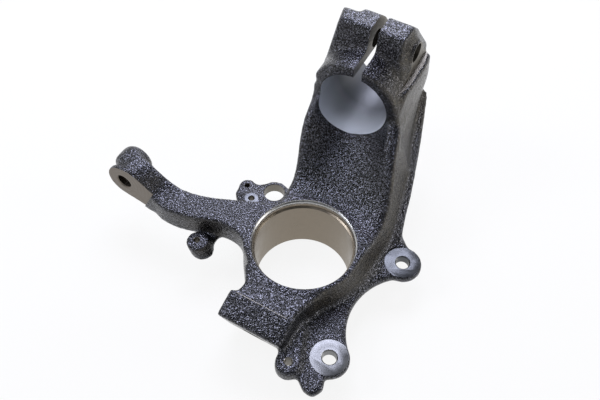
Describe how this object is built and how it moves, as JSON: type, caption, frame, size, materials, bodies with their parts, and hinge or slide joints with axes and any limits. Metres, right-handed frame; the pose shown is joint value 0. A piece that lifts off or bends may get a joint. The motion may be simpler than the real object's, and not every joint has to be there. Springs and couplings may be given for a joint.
{
  "type": "steering knuckle",
  "caption": "Cast suspension upright with a wheel bearing bore, a split strut clamp, a steering arm, a ball joint boss and brake caliper ears.",
  "frame": {"origin": "centre of the wheel bearing bore on the outboard hub face", "axes": "+Z along the wheel axis and inboard, +Y up towards the strut, +X towards the caliper ears"},
  "size_m": [0.2439, 0.2481, 0.156],
  "materials": {
    "casting": "gloss"
  },
  "bodies": {
    "root": {"steering_knuckle": "casting"}
  },
  "joints": []
}
